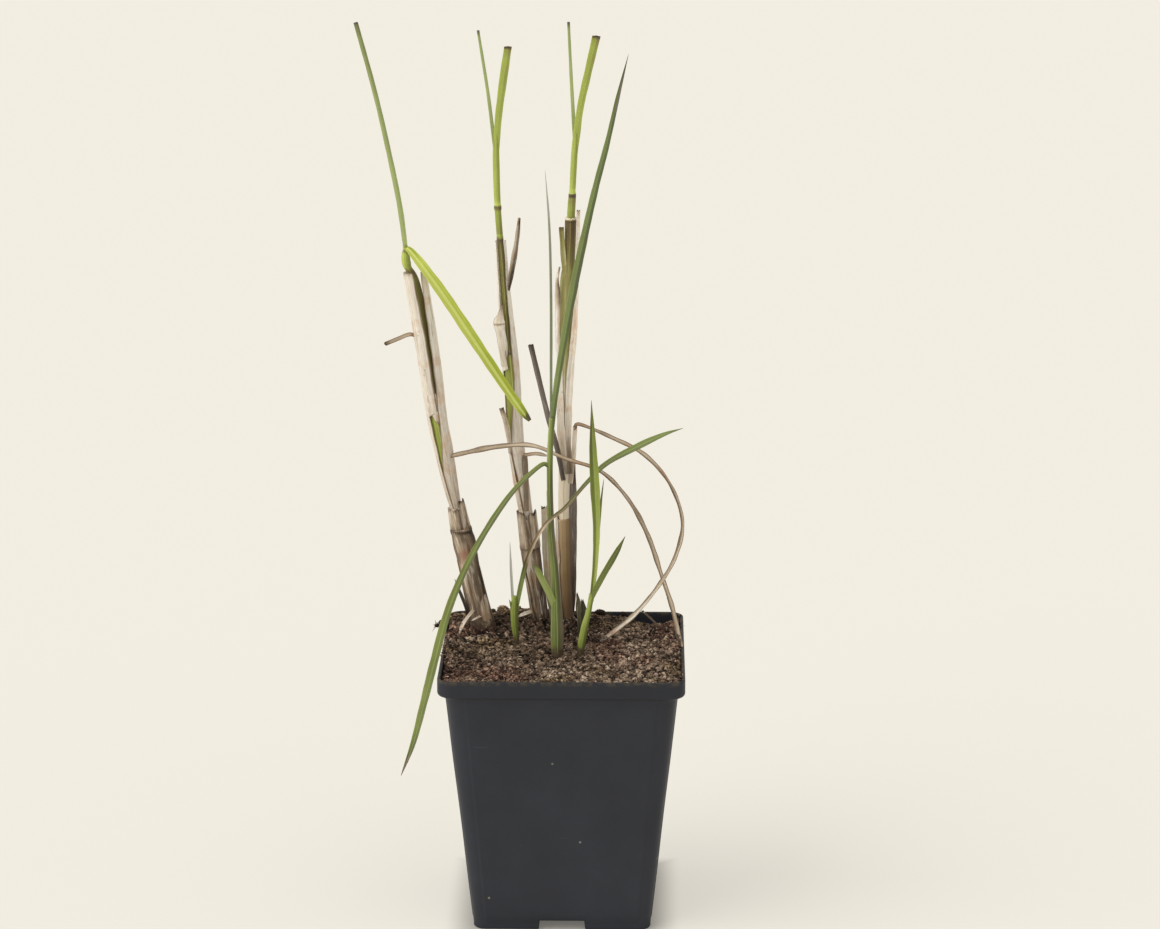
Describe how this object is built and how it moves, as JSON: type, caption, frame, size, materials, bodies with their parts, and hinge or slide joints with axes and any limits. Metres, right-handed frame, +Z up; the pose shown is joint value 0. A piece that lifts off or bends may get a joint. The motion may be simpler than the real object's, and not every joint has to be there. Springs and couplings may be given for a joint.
{
  "type": "potted ornamental grass",
  "caption": "Young clump of maiden grass in a square nursery pot of peat: dry sheathed canes with green culms, cut-back blades and fresh arching shoots.",
  "frame": {"origin": "centre of the pot's underside, on the round pad in the middle of its foot that touches the surface it stands on", "axes": "+Z up along the pot and the plant; -Y towards the front, square to the pot's front wall; +X to the right seen from the front"},
  "size_m": [0.1209, 0.09, 0.3307],
  "materials": {
    "pot": "dusty satin injection-moulded plastic, near black",
    "soil": null,
    "dry_straw": "dry straw, matt, fine lengthwise fibres, browner towards the foot",
    "culm_green": "fresh yellow-green culm and blades, slightly waxy",
    "leaf_green": "fresh green blade with a pale midrib, slightly waxy",
    "husk_grey": "weathered grey-brown papery husk"
  },
  "bodies": {
    "root": {"pot": "pot", "soil": "soil", "cane_left_dry": "dry_straw", "cane_middle_dry": "dry_straw", "cane_right_dry": "dry_straw", "cane_left_green": "culm_green", "cane_middle_green": "culm_green", "cane_right_green": "culm_green", "shoot_middle": "leaf_green", "shoot_left": "leaf_green", "shoot_right": "leaf_green", "shoot_middle_husk": "husk_grey", "shoot_right_husk": "husk_grey"}
  },
  "joints": []
}
